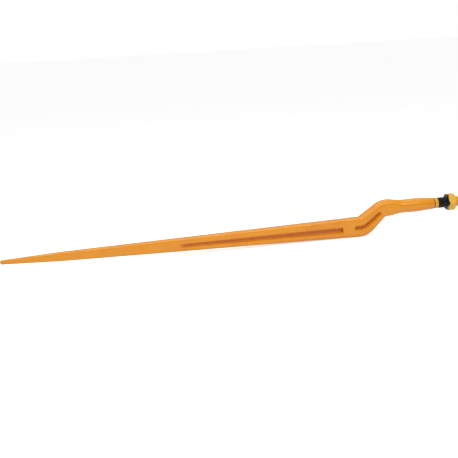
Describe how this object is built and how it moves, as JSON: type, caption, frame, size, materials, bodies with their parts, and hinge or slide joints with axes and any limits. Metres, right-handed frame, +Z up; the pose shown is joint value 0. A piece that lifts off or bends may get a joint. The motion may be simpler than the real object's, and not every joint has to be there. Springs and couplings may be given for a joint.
{
  "type": "bale spear",
  "caption": "Cranked drop-forged bale spear with H-section blade, taper shank, fine-pitch thread and hexagon nut, painted orange",
  "frame": {"origin": "on the shank's axis at the small end of its seating taper, where the relief groove begins", "axes": "X along the spear, point towards -X and threaded end towards +X; Z up, the shank's axis lying above the blade's as the spear is carried; Y across, towards the plane of symmetry's far side"},
  "size_m": [1.2, 0.0474, 0.0903],
  "materials": {
    "orange_paint": "satin enamel paint over a forged skin",
    "nut_paint": "thin yellow paint on the flats over black phosphate",
    "black_thread": "black oiled phosphate"
  },
  "bodies": {
    "root": {"spear": "orange_paint", "hex_nut": "nut_paint"}
  },
  "joints": []
}
